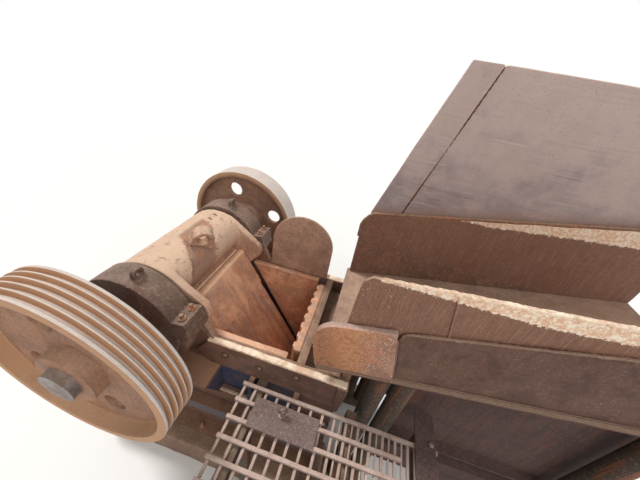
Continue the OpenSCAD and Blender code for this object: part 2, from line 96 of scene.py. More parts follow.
class Wire:
    def __init__(self, tree, plug):
        self.tree, self.plug = tree, plug

    def node(self, kind, settings=None, sockets=None, out=0):
        made = self.tree.nodes.new('ShaderNode' + kind)
        for name, value in (settings or {}).items():
            setattr(made, name, value)
        for name, value in (sockets or {}).items():
            target = made.inputs[name]
            if isinstance(value, Wire):
                self.tree.links.new(value.plug, target)
            else:
                target.default_value = (*value, 1) if target.type == 'RGBA' else value
        return Wire(self.tree, made.outputs[out])

    def maths(self, operation, *values):
        return self.node('Math', {'operation': operation}, dict(enumerate(values)))

    def __add__(self, other):
        return self.maths('ADD', self, other)

    __radd__ = __add__

    def __sub__(self, other):
        return self.maths('SUBTRACT', self, other)

    def __rsub__(self, other):
        return self.maths('SUBTRACT', other, self)

    def __mul__(self, other):
        return self.maths('MULTIPLY', self, other)

    __rmul__ = __mul__

    def larger(self, other):
        return self.maths('MAXIMUM', self, other)

    def capped(self, most=1.0):
        return self.maths('MINIMUM', self, most)

    def between(self, low, high):  # 0 at low, 1 at high, smooth in between; low may be the larger
        return self.node('MapRange', {'interpolation_type': 'SMOOTHSTEP'},
                         {'Value': self, 'From Min': low, 'From Max': high})

    def mixed(self, other, share):  # this colour turning into the other
        return self.node('Mix', {'data_type': 'RGBA'}, {0: share, 6: self, 7: other}, 2)

    def blend(self, first, second):  # the second tone takes over as this rises
        return self.node('Mix', {'data_type': 'RGBA'}, {0: self, 6: first, 7: second}, 2)

    def unsigned(self):
        return self.maths('ABSOLUTE', self)

    def fromAxis(self, other):  # the distance from an axis, given the distances along the two others
        return self.maths('SQRT', self * self + other * other)

    def part(self, axis):
        return self.node('SeparateXYZ', None, {0: self}, 'XYZ'.index(axis))

    def stretched(self, x, y, z, turn=(0, 0, 0)):
        return self.node('Mapping', None, {'Vector': self, 'Rotation': turn, 'Scale': (x, y, z)})

    def noise(self, scale, detail, rough=0.55, warp=0.0):
        return self.node('TexNoise', None, {'Vector': self, 'Scale': scale, 'Detail': detail,
                                            'Roughness': rough, 'Distortion': warp})

    def cells(self, scale):
        return self.node('TexVoronoi', None, {'Vector': self, 'Scale': scale})


def startMaterial(name):
    material = bpy.data.materials.new(name)
    material.use_nodes = True
    tree = material.node_tree
    tree.nodes.clear()
    here = Wire(tree, None)
    return material, here, here.node('TexCoord', out='Object'), here.node('TexCoord', out='Normal')


stoneDust = tone(206, 176, 148)
deepDust = tone(158, 124, 100)
rustBrown = tone(116, 66, 42)
rustOrange = tone(188, 104, 58)
darkSoil = tone(58, 42, 36)

plainLook = {
    'base': tone(140, 112, 96),  # the two tones that the metal wanders between
    'other': tone(112, 86, 74),
    'rust': rustBrown,
    'rusty': 0.3,  # share of the surface with rust
    'dust': stoneDust,
    'dusty': 0.75,  # how much dust lies on what faces up
    'film': 0.3,  # dust on upright faces
    'streaks': 0.35,
    'scratches': 0.0,
    'pits': 0.35,
    'grain': 1.0,  # scale of all patterns
    'rough': 0.72,
    'depth': 0.004,
    'metal': 0.0,
    'mottle': 0.5,  # light and dark from one grain to the next
    'flecks': 0.3,  # small pale chips
    'edges': 0.6,  # bare, pale edges
    'hollows': 0.6,  # dirt in the corners
}
patterns = {  # scale, detail, roughness, warp
    'broad': (2.3, 3),
    'patch': (9, 6, 0.62, 0.4),
    'speck': (60, 5, 0.7),
    'grit': (330, 3, 0.6),
}
runScale = (34, 34, 1.8)  # long downwards
scratchScale = (9, 160, 30)  # long lengthways


def dustyMetal(name, change, extra=None):
    look = {**plainLook, **change}
    material, here, place, facing = startMaterial(name)
    grain, streaks, mottle = look['grain'], look['streaks'], look['mottle']
    up = facing.part('Z')
    broad, patch, speck, grit = (place.noise(scale * grain, *rest) for scale, *rest in patterns.values())
    run = place.stretched(*(scale * grain for scale in runScale)).noise(1.0, 5, 0.65, 0.5)
    scratch = place.stretched(*(scale * grain for scale in scratchScale)).noise(1.0, 3, 0.5, 0.8)
    colour = (patch * 0.7 + broad * 0.3).between(0.4, 0.6).blend(look['base'], look['other'])
    colour = colour.mixed(darkSoil, speck.between(0.5, 0.34) * mottle * 0.6)
    colour = colour.mixed(look['dust'], speck.between(0.52, 0.68) * mottle * 0.4)
    rust = patch * 0.45 + broad * 0.3 + speck * 0.25
    rust = rust.between(0.60 - 0.2 * look['rusty'], 0.66 - 0.16 * look['rusty'])
    colour = colour.mixed(look['rust'], rust * min(1, look['rusty'] + 0.25))
    upright = 1 - up.between(0.15, 0.7)
    colour = colour.mixed(darkSoil, run.between(0.5, 0.7) * upright * streaks * 0.7)
    colour = colour.mixed(look['rust'], run.between(0.5, 0.32) * upright * streaks * 0.6)
    pit = (1 - place.cells(85 * grain).between(0.05, 0.34)) * speck.between(0.48, 0.62)
    colour = colour.mixed(darkSoil, pit * look['pits'])
    for paint, share in extra(place, facing, patch, speck) if extra else ():
        colour = colour.mixed(paint, share)
    fleck = place.noise(190 * grain, 2, 0.5).between(0.62, 0.7) * patch.between(0.4, 0.6)
    colour = colour.mixed(look['dust'], fleck * look['flecks'])
    bend = here.node('Attribute', {'attribute_name': 'bend'}, out='Fac')
    colour = colour.mixed(look['dust'], (bend + speck * 0.12 - 0.06).between(0.10, 0.34) * look['edges'])
    colour = colour.mixed(darkSoil, (bend + speck * 0.1 - 0.05).between(-0.08, -0.3) * look['hollows'])
    lying = (up + patch * 0.6 - 0.32).between(0.2, 0.8) * (0.45 + speck * 1.0) * look['dusty']
    film = (broad * 0.5 + patch * 0.3 + speck * 0.2).between(0.36, 0.68) * look['film']
    film = film + scratch.between(0.58, 0.72) * look['scratches']
    dust = lying.larger(film).capped()
    dustTone = (grit.between(0.35, 0.7) * 0.4 + patch.between(0.4, 0.7) * 0.35).blend(look['dust'], deepDust)
    colour = colour.mixed(dustTone, dust)
    rough = (dust * 0.25 + rust * 0.12 + look['rough'] + grit * 0.08).capped()
    relief = patch * 0.35 + speck * 0.3 + grit * 0.14 - pit * 0.6 + dust * 0.22 + rust * 0.12
    bump = here.node('Bump', None, {'Height': relief, 'Distance': look['depth'], 'Strength': 1.0})
    skin = here.node('BsdfPrincipled', None, {'Base Color': colour, 'Roughness': rough, 'Normal': bump,
                                              'Metallic': look['metal'], 'Specular IOR Level': 0.35})
    end = here.tree.nodes.new('ShaderNodeOutputMaterial')
    here.tree.links.new(skin.plug, end.inputs['Surface'])
    return material


railBolts = ((0.505, -0.169), (0.722, -0.182), (0.945, -0.144))  # along and up from the middle of the shaft
frameTones = {
    'rust': tone(84, 50, 36), 'soot': tone(52, 34, 30), 'rail': tone(104, 70, 56), 'stain': tone(66, 46, 40),
    'blue': tone(22, 38, 68), 'black': tone(26, 26, 34), 'flaked': tone(78, 46, 34), 'beam': tone(72, 80, 92),
    'shelf': tone(108, 66, 42), 'oil': tone(54, 40, 36),
}
frameBands = {  # where each starts and where it is whole, from the middle of the shaft
    'low': (-0.31, -0.36), 'outside': (-0.41, -0.425), 'railSide': (-0.05, -0.1),
    'bayTop': (-0.29, -0.31), 'bayFoot': (-0.56, -0.54), 'bayFront': (1.05, 0.85), 'bayRear': (0.34, 0.44),
    'black': (0.62, 0.74), 'beamFoot': (-0.88, -0.86), 'beamTop': (-0.74, -0.77),
    'shelfFoot': (-0.336, -0.33), 'shelfTop': (-0.29, -0.298), 'shelfFront': (0.5, 0.47),
    'oil': (0.034, 0.024),
}


def framePaint(place, facing, patch, speck):  # blue paint left in the bays, with painted shade; bare rust below, darkened partly as painted shade
    band = frameBands
    height = place.part('Z') - shaftHeight
    along = place.part('X')
    blotch = patch * 0.6 + speck * 0.4
    upright = 1 - facing.part('Z').between(0.3, 0.8)
    # rust low down, darkened partly as painted shade
    low = height.between(*band['low'])
    yield frameTones['rust'], low * 0.85
    yield frameTones['soot'], low * blotch.between(0.5, 0.62) * 0.6
    outside = place.part('Y').between(*band['outside']) * upright
    yield frameTones['rail'], outside * height.between(*band['railSide']) * 0.8
    yield frameTones['stain'], outside * (blotch + along * 0.12).between(0.52, 0.66) * 0.75
    bay = height.between(*band['bayTop']) * height.between(*band['bayFoot'])
    bay = bay * along.between(*band['bayFront']) * along.between(*band['bayRear'])
    # the blue is real paint, darkened as painted shade; the near-black tone after it is painted shade in the
    # bays
    yield frameTones['blue'], blotch.between(0.32, 0.44) * bay * upright * 0.96
    black = blotch.between(0.46, 0.58) * bay * upright * along.between(*band['black'])
    yield frameTones['black'], black * 0.7
    yield frameTones['flaked'], blotch.between(0.54, 0.6) * bay * 0.6
    beam = height.between(*band['beamFoot']) * height.between(*band['beamTop'])
    yield frameTones['beam'], beam * blotch.between(0.4, 0.54) * upright * 0.8
    # the shelf's brown is partly painted shade
    shelf = height.between(*band['shelfFoot']) * height.between(*band['shelfTop'])
    shelf = shelf * along.between(*band['shelfFront'])
    yield frameTones['shelf'], shelf * 0.85
    for x, z in railBolts:  # oily rings round the bolts
        away = (along - x).fromAxis(height - z)
        yield frameTones['oil'], away.between(*band['oil']) * upright * 0.75


# the top tone and the ridge tone are a painted highlight along the jaw's top edge
jawTones = {
    'pale': tone(238, 180, 142), 'dark': tone(160, 120, 104), 'grey': tone(176, 152, 146),
    'orange': tone(222, 148, 108), 'scuff': tone(240, 200, 168), 'dull': tone(140, 98, 80),
    'top': tone(246, 188, 146), 'ridge': tone(255, 226, 196),
}


def jawWear(place, facing, patch, speck):  # rubbed bare, with a painted highlight along the top
    height = place.part('Z') - shaftHeight
    slanted = place.stretched(7, 20, 5, (0.5, 0, 0))
    rubbed = slanted.noise(1, 5, 0.7, 0.7)
    wide = place.stretched(3, 9, 3.4, (0.9, 0, 0)).noise(1, 4, 0.6, 0.8)
    yield jawTones['pale'], wide.between(0.52, 0.62) * 0.7
    yield jawTones['dark'], wide.between(0.46, 0.36) * 0.6
    yield jawTones['grey'], rubbed.between(0.54, 0.64) * 0.45
    yield jawTones['orange'], rubbed.between(0.47, 0.36) * 0.45
    scuffs = slanted.stretched(3, 4, 3).noise(1, 4, 0.65, 0.4)
    yield jawTones['scuff'], scuffs.between(0.58, 0.68) * 0.5
    yield jawTones['dull'], scuffs.between(0.42, 0.33) * 0.3
    # painted highlight along the top edge, brightest in a thin wavy line
    moving = place.part('X').between(0.62, 0.56)
    top = (height + patch * 0.02).between(-0.012, 0.034) * moving
    yield jawTones['top'], top * 0.75
    wavy = place.noise(16, 3) * 0.012 + height
    ridge = wavy.maths('PINGPONG', wavy, 0.016)
    yield jawTones['ridge'], top * ridge.between(0.008, 0.014) * (speck * 1.5).capped()


barrelTones = {'skin': tone(220, 188, 160), 'chip': tone(150, 116, 98), 'pocket': tone(142, 110, 94),
               'rust': tone(190, 126, 84)}
pocket = {'aside': 0.01, 'slope': 0.279, 'start': 0.336, 'lean': 0.65}


def offPocket(across, around):  # how far beside the pocket's middle line, which runs aslant round the barrel
    return across + pocket['aside'] - (around * pocket['slope'] - pocket['start']) * pocket['lean']


def barrelSkin(place, facing, patch, speck):  # a pale skin of baked dust, broken off round the lug
    height = place.part('Z') - shaftHeight
    around = height.maths('ARCTAN2', height, place.part('X'))
    broken = place.noise(24, 6, 0.7, 0.6)
    inside = (offPocket(place.part('Y'), around).unsigned() + broken * 0.16).between(0.215, 0.195)
    inside = inside * around.between(1.75, 1.62) * around.between(0.1, 0.3)
    yield barrelTones['skin'], (1 - inside) * around.between(0.2, 0.9) * 0.8
    chipped = broken.between(0.56, 0.62) * (1 - inside)
    yield barrelTones['chip'], chipped * around.between(0.3, 0.8) * 0.7
    yield barrelTones['pocket'], inside * 0.8
    yield barrelTones['rust'], inside * (patch * 0.6 + speck * 0.4).between(0.52, 0.6) * 0.9


rimTones = {'inside': tone(196, 150, 112), 'outside': tone(224, 220, 216)}


def wheelRim(place, facing, patch, speck):  # the rim's outside is rubbed pale, partly a painted highlight
    away = place.part('X').fromAxis(place.part('Z') - shaftHeight)
    outer = away.between(0.455, 0.463) * facing.part('Y').unsigned().between(0.6, 0.3)
    yield rimTones['inside'], away.between(0.43, 0.45) * (1 - outer) * 0.7
    # pale outside: rubbed pale, and partly a painted highlight
    yield rimTones['outside'], outer * (0.5 + speck * 0.8).capped(0.95)


def rustRun(place, facing, patch, speck):  # rust that has run down the posts
    run = place.stretched(16, 16, 0.7).noise(1, 4, 0.6, 0.3)
    yield tone(134, 76, 48), (run + patch * 0.1).between(0.6, 0.66) * 0.7


ochreTones = {'ochre': tone(200, 140, 94), 'deep': tone(153, 96, 63), 'dark': tone(84, 56, 44),
              'rust': tone(196, 118, 84), 'lime': tone(248, 226, 206)}


def ochrePlate(place, facing, patch, speck):  # painted sunlight towards the mouth, rust and lime spots behind
    along = place.part('X')
    height = place.part('Z') - shaftHeight
    outer = place.part('Y').between(-0.412, -0.42)
    grain = speck * 0.7 + patch * 0.3
    # a painted pool of sunlight on the plate's front part
    ochre = (along + patch * 0.16 + speck * 0.08).between(1.46, 1.27) * outer
    yield ochreTones['ochre'], ochre * 0.85
    yield ochreTones['deep'], ochre * grain.between(0.56, 0.44) * 0.7
    corner = outer * (along + height * 0.4).between(1.24, 1.12)
    yield ochreTones['dark'], corner * grain.between(0.47, 0.56) * 0.7
    spots = place.noise(26, 6, 0.7).between(0.54, 0.6) * along.between(1.22, 1.28) * outer
    yield ochreTones['rust'], spots * 0.6
    lime = outer * place.noise(150, 3).between(0.6, 0.66) * along.between(1.14, 1.28)
    yield ochreTones['lime'], lime * 0.9


plateTones = {
    'scoured': tone(98, 70, 58), 'rubbed': tone(176, 130, 104), 'lower': tone(86, 58, 50),
    'soot': tone(60, 39, 35), 'upper': tone(124, 85, 67), 'pale': tone(172, 132, 106),
    'dark': tone(100, 70, 56), 'lime': tone(214, 176, 150), 'crust': tone(252, 238, 216),
    'crumb': tone(226, 178, 142),
}


def plateWear(place, facing, patch, speck):  # scoured down the slope, darker on the lower plates
    scour = place.stretched(40, 8, 5).noise(1, 5, 0.65, 0.4)
    yield plateTones['scoured'], scour.between(0.54, 0.68) * 0.35
    yield plateTones['rubbed'], scour.between(0.44, 0.34) * 0.35
    lower = place.part('Y').between(-0.395, -0.405)
    yield plateTones['lower'], lower * 0.8
    yield plateTones['soot'], lower * patch.between(0.56, 0.4) * 0.5


def upperPlates(place, facing, patch, speck):  # hairlines down the plate, a dusty crust on top
    height = place.part('Z') - shaftHeight
    along = place.part('X')
    yield from plateWear(place, facing, patch, speck)
    inner = place.part('Y').between(-0.40, -0.395) * height.between(0.3, 0.35) * along.between(1.08, 1.12)
    yield plateTones['upper'], inner * 0.65
    brushed = place.stretched(260, 260, 7).noise(1, 4, 0.6, 0.2)
    yield plateTones['pale'], brushed.between(0.52, 0.66) * inner * 0.4
    yield plateTones['dark'], brushed.between(0.46, 0.34) * inner * 0.4
    lime = place.noise(130, 2).between(0.64, 0.68) * inner * along.between(1.5, 1.2)
    yield plateTones['lime'], lime * 0.8
    crumbs = place.noise(75, 5, 0.75)
    top = height + crumbs * 0.05
    band = top.between(0.682, 0.688) * (height - along * 0.12 + crumbs * 0.05).between(0.467, 0.474)
    band = band * inner * along.between(1.15, 1.3)
    crust = crumbs.between(0.62, 0.4).blend(plateTones['crust'], plateTones['crumb'])
    yield crust, band * 0.95


apronTones = {'scratch': tone(206, 190, 180), 'dark': tone(110, 96, 102), 'haze': tone(204, 180, 170),
              'low': tone(150, 112, 92)}


def apronWear(place, facing, patch, speck):  # long pale scratches across
    height = place.part('Z') - shaftHeight
    scratch = place.stretched(3, 4, 90, (0, 0.33, 0)).noise(1, 4, 0.55, 0.2)
    yield apronTones['scratch'], scratch.between(0.6, 0.68) * patch.between(0.45, 0.6) * 0.6
    yield apronTones['dark'], scratch.between(0.42, 0.34) * 0.4
    haze = (place.noise(5, 4) * 0.4 + height * 0.25).between(0.34, 0.5)
    yield apronTones['haze'], haze * 0.6
    low = (height - place.part('X') * 0.22 + patch * 0.12).between(0.46, 0.36)
    yield apronTones['low'], low * 0.6


def capCrust(place, facing, patch, speck):  # dark grease and grit on the caps' crowns
    height = place.part('Z') - shaftHeight
    outer = place.part('Y').unsigned().between(0.475, 0.5)
    crust = outer * height.between(0.19, 0.23) * place.part('X').between(0.02, 0.06)
    yield tone(84, 44, 36), crust * (patch * 0.5 + speck * 0.5).between(0.46, 0.52) * 0.9
    yield tone(170, 150, 146), crust * place.noise(90, 3).between(0.6, 0.66) * 0.6


looks = {
    'concrete': {'base': tone(132, 104, 88), 'other': tone(106, 80, 68), 'rusty': 0.06, 'streaks': 0.2,
                 'film': 0.15, 'dusty': 0.35, 'rough': 0.85, 'depth': 0.006, 'pits': 0.6},
    'frame_paint': {'base': tone(142, 112, 96), 'other': tone(110, 86, 76), 'dust': tone(204, 164, 132),
                    'dusty': 0.35, 'film': 0.1, 'rusty': 0.35, 'flecks': 0.2, 'edges': 0.4, 'mottle': 0.9},
    'worn_steel': {'base': tone(210, 158, 124), 'other': tone(190, 136, 106), 'rust': rustOrange,
                   'dust': tone(236, 196, 162), 'rusty': 0.25, 'film': 0.1, 'dusty': 0.2, 'rough': 0.5,
                   'streaks': 0.1, 'pits': 0.6},
    # pale tones: dusty steel, brightened as a painted highlight on the jaw's ridge
    'ridge_steel': {'base': tone(252, 206, 170), 'other': tone(224, 168, 132), 'rust': rustOrange,
                    'dust': tone(255, 226, 194), 'rusty': 0.1, 'dusty': 0.8, 'rough': 0.5,
                    'edges': 0.9, 'mottle': 0.3},
    'housing_iron': {'base': tone(116, 90, 80), 'other': tone(88, 68, 60), 'dusty': 0.15, 'film': 0.1,
                     'rusty': 0.2, 'rough': 0.6, 'mottle': 0.7},
    'pitman_iron': {'base': tone(196, 152, 126), 'other': tone(166, 124, 102), 'dust': tone(232, 200, 172),
                    'dusty': 0.15, 'film': 0.15, 'rusty': 0.2, 'rough': 0.75, 'pits': 0.5, 'mottle': 0.7},
    'lug_iron': {'base': tone(204, 166, 142), 'other': tone(160, 124, 106), 'rust': tone(200, 120, 70),
                 'dust': tone(234, 200, 170), 'rusty': 0.4, 'dusty': 0.7, 'pits': 0.7,
                 'mottle': 0.8, 'hollows': 0.9, 'edges': 1.0},
    'guard_iron': {'base': tone(192, 152, 130), 'other': tone(166, 128, 108), 'rusty': 0.2, 'streaks': 0.15,
                   'film': 0.2, 'pits': 0.8, 'flecks': 0.5, 'mottle': 0.7},
    'strap_iron': {'base': tone(84, 63, 60), 'other': tone(68, 52, 51), 'dust': tone(166, 140, 132),
                   'rusty': 0.2, 'film': 0.06, 'dusty': 0.1, 'flecks': 0.7, 'pits': 0.7},
    # dark tones: iron, darkened as painted shade under the chute
    'skirt_iron': {'base': tone(78, 56, 52), 'other': tone(60, 44, 42), 'dust': tone(150, 120, 108),
                   'rusty': 0.2, 'film': 0.05, 'dusty': 0.1, 'streaks': 0.7, 'edges': 0.3},
    'rusty_steel': {'base': tone(140, 98, 74), 'other': tone(108, 76, 62), 'rusty': 0.5, 'rust': rustOrange,
                    'film': 0.2, 'dusty': 0.4},
    'bare_steel': {'base': tone(150, 146, 144), 'other': tone(108, 98, 94), 'rusty': 0.15, 'rough': 0.42,
                   'metal': 0.6, 'film': 0.1, 'dusty': 0.25, 'edges': 0.3, 'scratches': 0.2},
    'wheel_iron': {'base': tone(160, 118, 92), 'other': tone(136, 100, 82), 'rusty': 0.25, 'film': 0.2,
                   'dusty': 0.4},
    'dusty_plate': {'base': tone(132, 96, 78), 'other': tone(104, 72, 60), 'dust': tone(222, 190, 164),
                    'rusty': 0.05, 'film': 0.12, 'dusty': 0.5, 'pits': 0.6, 'streaks': 0.2},
    'ochre_plate': {'base': tone(168, 126, 104), 'other': tone(140, 102, 86), 'dust': tone(214, 190, 180),
                    'rusty': 0.0, 'film': 0.1, 'dusty': 0.6, 'streaks': 0.1, 'edges': 0.7},
    'grey_plate': {'base': tone(168, 152, 150), 'other': tone(150, 136, 138), 'rusty': 0.06, 'film': 0.1,
                   'streaks': 0.15, 'pits': 0.2, 'mottle': 0.2, 'flecks': 0.15},
    # dark tones: paint, darkened as painted shade under the chute
    'post_paint': {'base': tone(72, 64, 54), 'other': tone(56, 50, 44), 'rust': tone(120, 66, 40),
                   'rusty': 0.25, 'film': 0.05, 'streaks': 0.7, 'dusty': 0.3},
    'grating_steel': {'base': tone(172, 150, 140), 'other': tone(146, 122, 112), 'dust': tone(214, 190, 176),
                      'dusty': 0.6, 'film': 0.2, 'rusty': 0.15, 'pits': 0.6},
    'stone_dust': {'base': tone(254, 232, 206), 'other': tone(216, 172, 140), 'dust': tone(254, 234, 208),
                   'rusty': 0.0, 'dusty': 0.4, 'film': 0.2, 'streaks': 0.0, 'pits': 0.4, 'rough': 0.95,
                   'depth': 0.006, 'grain': 1.6},
    'loose_plate': {'base': tone(100, 82, 76), 'other': tone(82, 66, 62), 'dust': tone(206, 184, 172),
                    'rusty': 0.15, 'film': 0.08, 'dusty': 0.15, 'flecks': 0.9, 'pits': 0.7},
}
extras = {'frame_paint': framePaint, 'worn_steel': jawWear, 'pitman_iron': barrelSkin,
          'wheel_iron': wheelRim, 'post_paint': rustRun, 'ochre_plate': ochrePlate,
          'dusty_plate': upperPlates, 'grey_plate': apronWear, 'housing_iron': capCrust}
finishes = {slot: dustyMetal(slot, look, extras.get(slot)) for slot, look in looks.items()}
slotOf = {entry['node']: entry['material_slot'] for entry in frame['record']['subparts']}
for name, piece in nodes.items():
    piece.data.materials.clear()
    piece.data.materials.append(finishes[slotOf[name]])
print('finishes on', len(nodes), 'nodes')


def only(piece):  # nothing but this piece is selected and active
    bpy.ops.object.select_all(action='DESELECT')
    piece.select_set(True)
    bpy.context.view_layer.objects.active = piece


def modified(piece, kind, **settings):
    modifier = piece.modifiers.new(kind.lower(), kind)
    for name, value in settings.items():
        setattr(modifier, name, value)
    only(piece)
    bpy.ops.object.modifier_apply(modifier=modifier.name)


def finished(piece, name, slot, body, angle=35):  # at the origin, smooth, with its finish and its body
    only(piece)
    bpy.ops.object.transform_apply(location=True, rotation=True, scale=True)
    bpy.ops.object.shade_smooth_by_angle(angle=radians(angle))
    piece.name = piece.data.name = name
    piece.data.materials.clear()
    piece.data.materials.append(finishes[slot])
    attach(piece, body)
    return piece


def chamfered(piece, width, angle=50):  # edges sharper than this many degrees
    modified(piece, 'BEVEL', width=width, segments=2, limit_method='ANGLE', angle_limit=radians(angle))


def recast(piece, voxel, softness):  # an even mesh with softened corners
    modified(piece, 'REMESH', mode='VOXEL', voxel_size=voxel)
    modified(piece, 'SMOOTH', factor=0.5, iterations=softness)


def joined(pieces):
    bpy.ops.object.select_all(action='DESELECT')
    for piece in pieces:
        piece.select_set(True)
    bpy.context.view_layer.objects.active = pieces[0]
    bpy.ops.object.join()
    return pieces[0]


def copied(piece):
    twin = piece.copy()
    twin.data = piece.data.copy()
    bpy.context.scene.collection.objects.link(twin)
    return twin


def lumpy(piece, size, height, group='', direction='NORMAL'):
    texture = bpy.data.textures.new('lumps', 'CLOUDS')
    texture.noise_scale = size
    modified(piece, 'DISPLACE', texture=texture, strength=height, mid_level=0.5, vertex_group=group,
             direction=direction)


def weathered(piece, lumps, group=''):
    for size, height in lumps:
        lumpy(piece, size, height, group)


def nodeCopy(name):  # a loose copy of a CAD node's mesh with its corners merged
    piece = copied(nodes[name])
    piece.parent = None
    piece.matrix_world = Matrix.Identity(4)
    only(piece)
    bpy.ops.object.mode_set(mode='EDIT')
    bpy.ops.mesh.select_all(action='SELECT')
    bpy.ops.mesh.remove_doubles(threshold=0.00002)
    bpy.ops.mesh.normals_make_consistent(inside=False)
    bpy.ops.object.mode_set(mode='OBJECT')
    return piece


def marked(piece, name, share):  # a vertex group that follows a rule on each point's place
    group = piece.vertex_groups.new(name=name)
    for point in piece.data.vertices:
        weight = share(point.co)
        if weight > 0.01:
            group.add([point.index], min(1, weight), 'REPLACE')
    return name


def ramp(value, low, high):
    share = min(1, max(0, (value - low) / (high - low)))
    return share * share * (3 - 2 * share)


def cutAway(piece, cutters):
    cutter = joined(cutters)
    modified(piece, 'BOOLEAN', operation='DIFFERENCE', object=cutter, solver='EXACT')
    bpy.data.objects.remove(cutter)


def markBends(piece):  # how far each point stands out from its neighbours: edges are above 0, hollows below
    mesh = piece.data
    places, normals = (numpy.empty(len(mesh.vertices) * 3) for part in range(2))
    mesh.vertices.foreach_get('co', places)
    mesh.vertices.foreach_get('normal', normals)
    ends = numpy.empty(len(mesh.edges) * 2, dtype=numpy.int32)
    mesh.edges.foreach_get('vertices', ends)
    places, normals, ends = places.reshape(-1, 3), normals.reshape(-1, 3), ends.reshape(-1, 2)
    total, count = numpy.zeros(len(places)), numpy.zeros(len(places))
    for one, other in ((0, 1), (1, 0)):
        run = places[ends[:, other]] - places[ends[:, one]]
        run /= numpy.linalg.norm(run, axis=1)[:, None] + 1e-9
        numpy.add.at(total, ends[:, one], -(run * normals[ends[:, one]]).sum(axis=1))
        numpy.add.at(count, ends[:, one], 1)
    bend = total / numpy.maximum(count, 1)
    mesh.attributes.new('bend', 'FLOAT', 'POINT').data.foreach_set('value', bend)


def cast(name, voxel, lumps, softness):  # a copy with rounded corners and an uneven cast or dented skin
    piece = nodeCopy(name)
    recast(piece, voxel, softness)
    weathered(piece, lumps)
    markBends(piece)
    return piece


bodyOf = {node: body for body, names in frame['record']['behaviour']['bodies'].items() for node in names}


def camel(name):
    first, *rest = name.split('_')
    return first + ''.join(word.title() for word in rest)


ownFinish = {'walkway_plate': 'loose_plate', 'walkway_strap': 'strap_iron', 'guard_plate': 'guard_iron',
             'chute_wall_near_front': 'ochre_plate', 'jaw_clamp_bar': 'ridge_steel',
             'chute_skirt_near': 'skirt_iron', 'chute_skirt_far': 'skirt_iron', 'lifting_lug': 'lug_iron'}


def stands(piece, node, angle):  # the finished piece takes the CAD node's place
    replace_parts(finished(piece, camel(node), slotOf[node], bodyOf[node], angle), node)
    if node in ownFinish:
        piece.data.materials[0] = finishes[ownFinish[node]]


def keptInside(piece, node):  # dents and lumps stay in the node's own box
    low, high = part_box(node)
    for point in piece.data.vertices:
        point.co = [min(max(part, least), most) for part, least, most in zip(point.co, low, high)]
    return piece


def spot(x, y, z):  # a place given from the middle of the shaft
    return Vector((x, y, z + shaftHeight))


pitmanSkin = {
    'voxel': 0.0082,
    'softness': 3,
    'bore': 0.112,  # a little wider than the shaft
    'boreLength': 1.0,
    'slots': ((0.009, 0.284, 0.279), (0.009, 0.222, 0.279)),  # two sling slots on the crown
    'slotSize': (0.038, 0.014, 0.06),
    'slotTurn': -0.25,
    'pocket': 0.011,  # how far the lug's pocket lies below the baked skin
    'barrel': (0.15, 0.19),  # the lumps grow between these distances from the axis
    'lumps': ((0.16, 0.006), (0.035, 0.003)),
}


def inPocket(point):
    x, z = point.x, point.z - shaftHeight
    around, away = atan2(z, x), hypot(x, z)
    wobble = noise.noise(point * 14) * 0.022 + noise.noise(point * 60) * 0.006
    beside = ramp(abs(offPocket(point.y, around)) + wobble, 0.128, 0.112)
    return beside * ramp(around, 1.72, 1.64) * ramp(around, 0.1, 0.25) * (1 - ramp(away, 0.25, 0.22))


def onBarrel(point):
    return ramp(hypot(point.x, point.z - shaftHeight), *pitmanSkin['barrel'])


def makePitman():
    piece = nodeCopy('pitman')
    bpy.ops.object.select_all(action='DESELECT')
    bpy.ops.mesh.primitive_cylinder_add(vertices=96, radius=pitmanSkin['bore'],
                                        depth=pitmanSkin['boreLength'],
                                        location=(0, 0, shaftHeight), rotation=(pi / 2, 0, 0))
    cutAway(piece, [bpy.context.object])
    recast(piece, pitmanSkin['voxel'], pitmanSkin['softness'])
    hollow = marked(piece, 'pocket', inPocket)
    modified(piece, 'DISPLACE', strength=-pitmanSkin['pocket'], mid_level=0.0, vertex_group=hollow)
    weathered(piece, pitmanSkin['lumps'], marked(piece, 'skin', onBarrel))
    markBends(piece)
    slots = []
    for place in pitmanSkin['slots']:
        bpy.ops.object.select_all(action='DESELECT')
        bpy.ops.mesh.primitive_cube_add(size=1, location=spot(*place), scale=pitmanSkin['slotSize'],
                                        rotation=(0, 0, pitmanSkin['slotTurn']))
        slots.append(bpy.context.object)
    cutAway(piece, slots)
    stands(piece, 'pitman', 40)


makePitman()
print('pitman cast')

lug = {
    'hole': (0.1225, -0.025, 0.3032),
    'through': (0.6556, -0.7071, -0.2649),  # the way that the hole runs
    'bore': 0.021,
    'mouth': 0.043,
    'flare': 0.044,  # length of each cone
    'out': 0.02,  # from the hole's middle to the cone's
    'voxel': 0.0035,
    'softness': 5,
    'lumps': ((0.05, 0.008), (0.015, 0.003)),
}


def makeLug():  # a cast ring: both mouths of its hole are flared
    piece = nodeCopy('lifting_lug')
    for side in (-1, 1):
        way = Vector(lug['through']) * side
        bpy.ops.object.select_all(action='DESELECT')
        bpy.ops.mesh.primitive_cone_add(vertices=48, radius1=lug['bore'], radius2=lug['mouth'],
                                        depth=lug['flare'], location=spot(*lug['hole']) + way * lug['out'],
                                        rotation=way.to_track_quat('Z', 'Y').to_euler())
        cutAway(piece, [bpy.context.object])
    recast(piece, lug['voxel'], lug['softness'])
    weathered(piece, lug['lumps'])
    markBends(piece)
    stands(keptInside(piece, 'lifting_lug'), 'lifting_lug', 40)


makeLug()
print('lug cast')

